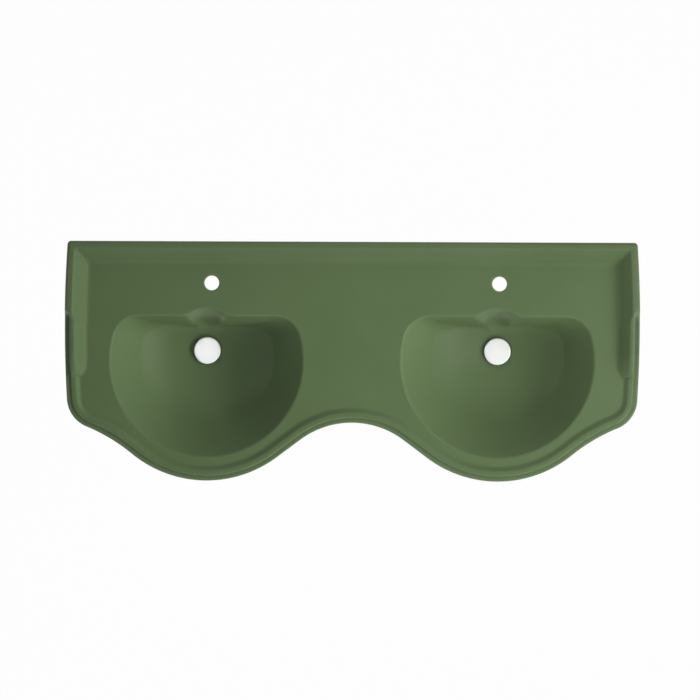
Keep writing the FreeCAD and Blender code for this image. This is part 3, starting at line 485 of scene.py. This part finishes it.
class Surface:
    """Points and faces gathered from sheets, then welded into one mesh."""

    def __init__(self):
        self.points, self.faces, self.count = [], [], 0

    def add(self, points, faces):
        """Takes in points with the faces between them."""
        self.points.append(points.reshape(-1, 3))
        self.faces += (np.asarray(faces) + self.count).tolist()
        self.count += self.points[-1].shape[0]

    def sheet(self, points, closed):
        """Takes in a grid of points."""
        self.add(points, lattice(points.shape[0], points.shape[1], closed))

    def flat(self, loops):
        """Takes in the level face inside the first loop and outside the others."""
        triangles = tessellate_polygon([[Vector(point) for point in loop] for loop in loops])
        self.add(np.concatenate(loops), triangles)

    def piece(self, name):
        """Merges what meets, turns all faces outwards and gives the finished piece."""
        mesh = bpy.data.meshes.new(name)
        mesh.from_pydata((np.concatenate(self.points) * MM).tolist(), [], self.faces)
        work = bmesh.new()
        work.from_mesh(mesh)
        bmesh.ops.remove_doubles(work, verts=work.verts, dist=WELD)
        bmesh.ops.dissolve_degenerate(work, edges=work.edges, dist=SLIVER)
        bmesh.ops.recalc_face_normals(work, faces=work.faces)
        work.to_mesh(mesh)
        work.free()
        finish_mesh(mesh)
        thing = bpy.data.objects.new(name, mesh)
        bpy.context.scene.collection.objects.link(thing)
        return thing


def finish_mesh(mesh):
    """Smooth shading with sharp edges where faces meet at more than the crease angle."""
    mesh.polygons.foreach_set("use_smooth", np.ones(len(mesh.polygons), dtype=bool))
    mesh.set_sharp_from_angle(angle=CREASE)
    mesh.update()


def bars(specs):
    """Closed round bars square to the wall: circles round x and z, each carried from one y to another."""
    surface = Surface()
    angle = 2.0 * np.pi * np.arange(BOLT_COLUMNS) / BOLT_COLUMNS
    for x, z, radius, low, high in specs:
        ring = np.stack([x + radius * np.cos(angle), 0.0 * angle, z + radius * np.sin(angle)], axis=-1)
        sheet = np.stack([ring + (0.0, low, 0.0), ring + (0.0, high, 0.0)])
        surface.sheet(sheet, closed=True)
        for end in sheet:
            surface.add(end, [list(range(BOLT_COLUMNS))])
    return surface.piece("bars")


def bored(thing, cutter):
    """Takes the space of a cutter out of a piece."""
    modifier = thing.modifiers.new("bores", "BOOLEAN")
    modifier.operation = "DIFFERENCE"
    modifier.solver = "EXACT"
    modifier.object = cutter
    mesh = bpy.data.meshes.new_from_object(thing.evaluated_get(bpy.context.evaluated_depsgraph_get()))
    thing.modifiers.clear()
    thing.data = mesh
    finish_mesh(mesh)
    bpy.data.objects.remove(cutter)


def mark_glaze_and_painted_light(mesh):
    """Marks on each point a tone: towards 1 over an edge, where the glaze thins and a highlight is painted,
    to 0 in a hollow, where it pools and shade is painted.

    The mean, over a point's neighbours, of their rise over its tangent plane divided by their distance
    squared is half the curvature there. It is evened out between neighbours and brought to 0..1 round a half.
    Steep walls add painted light to the mark: they come out paler, as if lit by light bounced in the bowls.
    """
    count = len(mesh.vertices)
    place, normal = np.empty(3 * count), np.empty(3 * count)
    mesh.vertices.foreach_get("co", place)
    mesh.vertices.foreach_get("normal", normal)
    place, normal = place.reshape(-1, 3), normal.reshape(-1, 3)
    ends = np.empty(2 * len(mesh.edges), dtype=np.int32)
    mesh.edges.foreach_get("vertices", ends)
    ends = ends.reshape(-1, 2)
    start, end = np.concatenate([ends, ends[:, ::-1]]).T
    way = place[end] - place[start]
    rise = (way * normal[start]).sum(axis=1) / (way * way).sum(axis=1)
    near = np.bincount(start, minlength=count)
    # Curvature mark: paler over ridges, partly thin glaze and partly painted highlight; darker in creases,
    # partly pooled glaze and partly painted shade
    bend = np.bincount(start, np.clip(rise, -GLAZE_BEND, GLAZE_BEND), count) / near
    for _ in range(GLAZE_PASSES):
        bend = (bend + np.bincount(start, bend[end], count) / near) / 2.0
    # Painted light: steep walls are made paler, as if lit by light bounced inside the bowls
    steep = ramp(1.0 - normal[:, 2], STEEPNESS)
    thin_glaze_and_painted_light = 0.5 - 0.5 * np.tanh(2.0 * bend / GLAZE_BEND) + PAINTED_WALL_LIGHT * steep
    # The mark holds thin and pooled glaze with painted highlight and painted shade, and painted light on
    # steep walls
    mark = mesh.attributes.new("glaze_thin_and_painted_light", "FLOAT", "POINT")
    mark.data.foreach_set("value", thin_glaze_and_painted_light.astype(np.float32))


def tap_profile():
    """Radius and height down a tap hole: flat margins, a quarter of a circle, and the bore."""
    turn = np.linspace(0.0, np.pi / 2.0, TAP_ROWS)
    margins = [(TAP_R + TAP_ROUND + margin, 0.0) for margin in TAP_MARGINS]
    edge = np.stack([TAP_R + TAP_ROUND * (1.0 - np.sin(turn)), -TAP_ROUND * (1.0 - np.cos(turn))], axis=-1)
    return np.concatenate([margins, edge, [(TAP_R, -DECK_THICKNESS)]])


def casting():
    """The ceramic: moulded edge, deck, bowls and tap holes of both halves, welded into one closed surface."""
    edge, bowl, tap = edge_strip(), bowl_sheet(), tap_profile()
    surface = Surface()
    bolts = []
    for sign in (-1, 1):
        mirror = np.array([sign, 1.0, 1.0])
        hole = turned_sheet(tap, TAP_COLUMNS, TAP_X[sign], TAP_Y)
        surface.sheet(edge * mirror, closed=False)
        surface.sheet(bowl * mirror, closed=True)
        surface.sheet(hole, closed=True)
        surface.flat([edge[-1] * mirror, bowl[0] * mirror, hole[0]])
        surface.flat([edge[0] * mirror, bowl[-1] * mirror, hole[-1]])
        for side in (-0.5, 0.5):
            bolts.append((sign * BOWL_X + side * BOLT_PITCH, -BOLT_DROP, BOLT_R, *BOLT_ENDS))
    thing = surface.piece("basin_casting")
    bored(thing, bars(bolts))
    mark_glaze_and_painted_light(thing.data)
    return thing


def cap(side, sign):
    """Cap of a plug: a dome and its rounded edge over a hollow foot, turned round the waste's axis.

    The dome falls by crown x (distance / reach)^2; the edge is an arc of a circle.
    """
    foot, plate, top = CAP_FOOT - BOWL_DEPTH, CAP_PLATE - BOWL_DEPTH, CAP_TOP - BOWL_DEPTH
    reach = CAP_R - CAP_ROUND
    shoulder = top - CAP_CROWN - CAP_ROUND
    across = np.linspace(0.0, reach, DOME_ROWS)
    dome = np.stack([across, top - CAP_CROWN * (across / reach) ** 2], axis=-1)
    turn = np.linspace(ROUND_START, np.pi / 2.0, ROUND_ROWS)
    edge = np.stack([reach + CAP_ROUND * np.sin(turn), shoulder + CAP_ROUND * np.cos(turn)], axis=-1)
    skirt = [(CAP_R, foot + CAP_BEVEL), (CAP_R - CAP_BEVEL, foot), (CAP_HOLLOW_R, foot)]
    hollow = [(CAP_HOLLOW_R, plate), (0.0, plate)]
    profile = np.concatenate([dome, edge, skirt, hollow])
    surface = Surface()
    surface.sheet(turned_sheet(profile, CAP_COLUMNS, sign * BOWL_X, WASTE_Y), closed=True)
    return surface.piece(f"{side}_cap")


# Materials

# Where nearly all values of the noise lie, the detail of clouds and grain, and how much finer the grain is
NOISE_SPAN = (0.3, 0.7)
CLOUD_DETAIL, GRAIN_DETAIL = 4.0, 3.0
GRAIN_RATIO = 14.0

# Olive glaze: colours by its mark from pooled glaze with painted shade to thin glaze with painted highlight
# and painted light, what clouds add to the mark, and the fine ripple
GLAZE_STOPS = [
    (0.15, (0.078, 0.121, 0.049)),
    (0.40, (0.086, 0.133, 0.054)),
    (0.60, (0.096, 0.147, 0.061)),
    (0.90, (0.118, 0.172, 0.080)),
]
GLAZE_CLOUD_SCALE, GLAZE_CLOUD = 5.0, (-0.09, 0.09)
RIPPLE_SCALE, RIPPLE = 160.0, (0.10, 0.0004)
GLAZE_ROUGHNESS = (0.38, 0.47)
GLAZE_SPECULAR = 0.30

# Other finishes: darker and paler colour, limits of roughness, scale of the clouds, and strength and depth of
# the relief
FINISHES = {
    "white_glaze": dict(
        colours=[(0.89, 0.89, 0.88), (0.93, 0.93, 0.92)],
        roughness=(0.10, 0.16), scale=30.0, bump=(0.06, 0.0002)),
    "chromed_brass": dict(
        colours=[(0.70, 0.71, 0.73), (0.78, 0.79, 0.81)],
        roughness=(0.06, 0.14), scale=60.0, bump=(0.05, 0.0001), metallic=1.0),
    "brass": dict(
        colours=[(0.58, 0.40, 0.15), (0.72, 0.54, 0.25)],
        roughness=(0.22, 0.36), scale=70.0, bump=(0.10, 0.0001), metallic=1.0),
    "rubber": dict(
        colours=[(0.016, 0.016, 0.016), (0.032, 0.032, 0.033)],
        roughness=(0.55, 0.75), scale=90.0, bump=(0.25, 0.0002), specular=0.35),
    "nylon": dict(
        colours=[(0.68, 0.67, 0.60), (0.76, 0.75, 0.69)],
        roughness=(0.36, 0.48), scale=50.0, bump=(0.15, 0.0001)),
    "spring_steel": dict(
        colours=[(0.42, 0.43, 0.45), (0.60, 0.61, 0.63)],
        roughness=(0.22, 0.38), scale=120.0, bump=(0.12, 0.0001), metallic=1.0),
}


def node_material(name):
    """New material with its nodes, links and shader."""
    material = bpy.data.materials.new(name)
    material.use_nodes = True
    tree = material.node_tree
    return material, tree.nodes, tree.links, tree.nodes["Principled BSDF"]


def add_noise(nodes, links, scale, detail):
    """Noise over the object's own coordinates."""
    place = nodes.new("ShaderNodeTexCoord")
    noise = nodes.new("ShaderNodeTexNoise")
    noise.inputs["Scale"].default_value = scale
    noise.inputs["Detail"].default_value = detail
    links.new(place.outputs["Object"], noise.inputs["Vector"])
    return noise.outputs["Fac"]


def add_ramp(nodes, links, source, stops):
    """Colours by a value."""
    ramp_node = nodes.new("ShaderNodeValToRGB")
    marks = ramp_node.color_ramp.elements
    marks[1].position, marks[0].position = stops[-1][0], stops[0][0]
    for position, _ in stops[1:-1]:
        marks.new(position)
    for mark, (_, colour) in zip(marks, stops):
        mark.color = (*colour, 1.0)
    links.new(source, ramp_node.inputs["Fac"])
    return ramp_node.outputs["Color"]


def add_range(nodes, links, source, low, high):
    """Value over the span of the noise brought between two limits."""
    scaled = nodes.new("ShaderNodeMapRange")
    limits = {"From Min": NOISE_SPAN[0], "From Max": NOISE_SPAN[1], "To Min": low, "To Max": high}
    for socket, value in limits.items():
        scaled.inputs[socket].default_value = value
    links.new(source, scaled.inputs["Value"])
    return scaled.outputs["Result"]


def add_bump(nodes, links, shader, source, strength, distance):
    """Bump of the surface by a value."""
    bump = nodes.new("ShaderNodeBump")
    bump.inputs["Strength"].default_value = strength
    bump.inputs["Distance"].default_value = distance
    links.new(source, bump.inputs["Height"])
    links.new(bump.outputs["Normal"], shader.inputs["Normal"])


def finish_material(name, colours, roughness, scale, bump, metallic=0.0, specular=0.5):
    """Material whose colour varies by cloudy noise, and its roughness and relief by a finer grain."""
    material, nodes, links, shader = node_material(name)
    cloud = add_noise(nodes, links, scale, CLOUD_DETAIL)
    stops = list(zip(NOISE_SPAN, colours))
    links.new(add_ramp(nodes, links, cloud, stops), shader.inputs["Base Color"])
    grain = add_noise(nodes, links, scale * GRAIN_RATIO, GRAIN_DETAIL)
    links.new(add_range(nodes, links, grain, *roughness), shader.inputs["Roughness"])
    shader.inputs["Metallic"].default_value = metallic
    shader.inputs["Specular IOR Level"].default_value = specular
    add_bump(nodes, links, shader, grain, *bump)
    return material


def olive_glaze():
    """Olive glaze: cloudy, darker where it pools (with painted shade) and paler where it thins over edges
    (with painted highlight) and on steep walls (painted light), with a fine ripple.
    """
    material, nodes, links, shader = node_material("green_glaze")
    noise = add_noise(nodes, links, GLAZE_CLOUD_SCALE, CLOUD_DETAIL)
    cloud = add_range(nodes, links, noise, *GLAZE_CLOUD)
    # The mark brings painted highlight over edges, painted shade in hollows and painted light on steep walls
    mark = nodes.new("ShaderNodeAttribute")
    mark.attribute_name = "glaze_thin_and_painted_light"
    depth = nodes.new("ShaderNodeMath")
    depth.operation = "ADD"
    links.new(mark.outputs["Fac"], depth.inputs[0])
    links.new(cloud, depth.inputs[1])
    links.new(add_ramp(nodes, links, depth.outputs[0], GLAZE_STOPS), shader.inputs["Base Color"])
    ripple = add_noise(nodes, links, RIPPLE_SCALE, GRAIN_DETAIL)
    links.new(add_range(nodes, links, ripple, *GLAZE_ROUGHNESS), shader.inputs["Roughness"])
    shader.inputs["Specular IOR Level"].default_value = GLAZE_SPECULAR
    add_bump(nodes, links, shader, ripple, *RIPPLE)
    return material


MATERIALS = {"green_glaze": olive_glaze()}
for name, finish in FINISHES.items():
    MATERIALS[name] = finish_material(name, **finish)


def dress(piece, slot, body, *nodes):
    """Gives a new piece the material of its slot and its body, and hides the CAD nodes it stands for."""
    piece.data.materials.clear()
    piece.data.materials.append(MATERIALS[slot])
    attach(piece, body)
    if nodes:
        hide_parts(*nodes)


dress(casting(), "green_glaze", "basin", "basin")
for side, sign in (("left", -1), ("right", 1)):
    dress(cap(side, sign), "white_glaze", f"{side}_plug", f"{side}_plug_cap")

NODE_SLOTS = {part["node"]: part["material_slot"] for part in frame["record"]["subparts"]}
for name, thing in frame["nodes"].items():
    thing.data.materials.clear()
    thing.data.materials.append(MATERIALS[NODE_SLOTS[name]])


# Ground, light and camera

# Ground: half its side, its level, its own grey and roughness, and the share of plain white the camera sees
GROUND_REACH, GROUND_LEVEL = 12.0, -0.85
GROUND_GREY, GROUND_ROUGHNESS = 0.93, 0.9
GROUND_WHITE = 0.98
# Even fill, glows as turn and rise in degrees and strength, and how narrow the glows are
FILL = 0.05
GLOWS = [(-75.0, 15.0, 0.44), (-150.0, 25.0, 0.18), (150.0, 15.0, 0.52)]
GLOW_FOCUS = 6.0
# Lamps: place, the point faced, size, power in watts and spread in degrees
BARE = 180.0
CAP_X, CAP_Y = BOWL_X * MM, WASTE_Y * MM
LAMPS = {
    "over": ((1.1, -0.4, 1.3), (0.9, -0.28, 0.0), 0.8, 5.2, BARE),
    "right": ((1.3, -0.9, 0.8), (1.1, -0.28, 0.0), 0.8, 4.6, BARE),
    "key": ((3.39, -0.28, 2.12), (-0.5, -0.28, 0.0), 0.7, 1.4, 32.0),
    "back key": ((3.32, 0.93, 1.88), (-0.5, -0.28, 0.0), 1.3, 2.1, 32.0),
    "front key": ((2.70, -2.55, 1.88), (-0.5, -0.28, 0.0), 1.3, 2.8, 32.0),
    "front": ((-0.57, -3.51, 2.29), (0.35, -0.28, 0.0), 1.3, 2.2, 40.0),
    "back": ((-0.57, 2.95, 2.29), (0.35, -0.28, 0.0), 1.3, 1.0, 40.0),
    "left cap": ((-CAP_X, CAP_Y, 0.5), (-CAP_X, CAP_Y, 0.0), 0.06, 0.0028, 1.5),
    "right cap": ((CAP_X, CAP_Y, 0.5), (CAP_X, CAP_Y, 0.0), 0.06, 0.0010, 1.5),
}
CAMERA_PLACE = (-0.0054, -0.2576, 25.0)
CAMERA_ROLL = math.radians(0.22)
VIEW_WIDTH = 1.668


def white_seen(nodes):
    """Value of 1 for rays by which the background is seen: straight, in gloss or through glass."""
    links = nodes.id_data.links
    path = nodes.new("ShaderNodeLightPath")
    total = path.outputs["Is Camera Ray"]
    for ray in ("Is Glossy Ray", "Is Transmission Ray"):
        either = nodes.new("ShaderNodeMath")
        either.operation = "MAXIMUM"
        links.new(total, either.inputs[0])
        links.new(path.outputs[ray], either.inputs[1])
        total = either.outputs[0]
    return total


def floor_piece():
    """Level sheet under the basin, far larger than the view: corners at plus and minus its reach."""
    corners = GROUND_REACH * np.array([(-1.0, -1.0), (1.0, -1.0), (1.0, 1.0), (-1.0, 1.0)])
    mesh = bpy.data.meshes.new("floor")
    mesh.from_pydata([(x, y, GROUND_LEVEL) for x, y in corners], [], [(0, 1, 2, 3)])
    thing = bpy.data.objects.new("floor", mesh)
    bpy.context.scene.collection.objects.link(thing)
    material, nodes, links, shader = node_material("floor")
    shader.inputs["Base Color"].default_value = (GROUND_GREY, GROUND_GREY, GROUND_GREY, 1.0)
    shader.inputs["Roughness"].default_value = GROUND_ROUGHNESS
    glow = nodes.new("ShaderNodeEmission")
    portion = nodes.new("ShaderNodeMath")
    portion.operation = "MULTIPLY"
    portion.inputs[1].default_value = GROUND_WHITE
    links.new(white_seen(nodes), portion.inputs[0])
    mix = nodes.new("ShaderNodeMixShader")
    links.new(portion.outputs[0], mix.inputs["Fac"])
    links.new(shader.outputs["BSDF"], mix.inputs[1])
    links.new(glow.outputs["Emission"], mix.inputs[2])
    links.new(mix.outputs["Shader"], nodes["Material Output"].inputs["Surface"])
    mesh.materials.append(material)


def lamp(name, place, target, size, power, spread):
    """Round area lamp that faces a point; only a bare one leaves its image in the glaze."""
    light = bpy.data.lights.new(name, "AREA")
    light.shape = "DISK"
    light.size = size
    light.energy = power
    light.spread = math.radians(spread)
    thing = bpy.data.objects.new(name, light)
    thing.location = place
    thing.rotation_euler = (Vector(target) - Vector(place)).to_track_quat("-Z", "Y").to_euler()
    thing.visible_camera = False
    thing.visible_glossy = spread == BARE
    bpy.context.scene.collection.objects.link(thing)


def studio():
    """Faint even fill and soft glows in the world, and lamps mostly over the right end and from the right."""
    world = bpy.data.worlds.new("studio")
    bpy.context.scene.world = world
    world.use_nodes = True
    nodes, links = world.node_tree.nodes, world.node_tree.links

    def math_node(operation, *values):
        node = nodes.new("ShaderNodeMath")
        node.operation = operation
        for socket, value in zip(node.inputs, values):
            if isinstance(value, float):
                socket.default_value = value
            else:
                links.new(value, socket)
        return node.outputs[0]

    way = nodes.new("ShaderNodeTexCoord").outputs["Generated"]
    background = nodes["Background"]
    white = nodes.new("ShaderNodeBackground")
    for part in (background, white):
        part.inputs["Color"].default_value = (1.0, 1.0, 1.0, 1.0)
    strength = FILL
    for turn, rise, gain in GLOWS:
        turn, rise = math.radians(turn), math.radians(rise)
        towards = nodes.new("ShaderNodeVectorMath")
        towards.operation = "DOT_PRODUCT"
        links.new(way, towards.inputs[0])
        towards.inputs[1].default_value = (
            math.cos(rise) * math.cos(turn), math.cos(rise) * math.sin(turn), math.sin(rise))
        glow = math_node("POWER", math_node("MAXIMUM", towards.outputs["Value"], 0.0), GLOW_FOCUS)
        strength = math_node("ADD", math_node("MULTIPLY", glow, gain), strength)
    links.new(strength, background.inputs["Strength"])
    mix = nodes.new("ShaderNodeMixShader")
    links.new(white_seen(nodes), mix.inputs["Fac"])
    links.new(background.outputs["Background"], mix.inputs[1])
    links.new(white.outputs["Background"], mix.inputs[2])
    links.new(mix.outputs["Shader"], nodes["World Output"].inputs["Surface"])
    for name, spec in LAMPS.items():
        lamp(name, *spec)


def photo_camera():
    """Camera straight above the basin, turned by the photo's small roll."""
    camera = bpy.data.cameras.new("camera")
    camera.lens = camera.sensor_width * CAMERA_PLACE[2] / VIEW_WIDTH
    camera.clip_end = 4.0 * CAMERA_PLACE[2]
    thing = bpy.data.objects.new("camera", camera)
    thing.location = CAMERA_PLACE
    thing.rotation_euler = (0.0, 0.0, CAMERA_ROLL)
    bpy.context.scene.collection.objects.link(thing)
    bpy.context.scene.camera = thing


floor_piece()
studio()
photo_camera()
bpy.context.scene.view_settings.view_transform = "Standard"
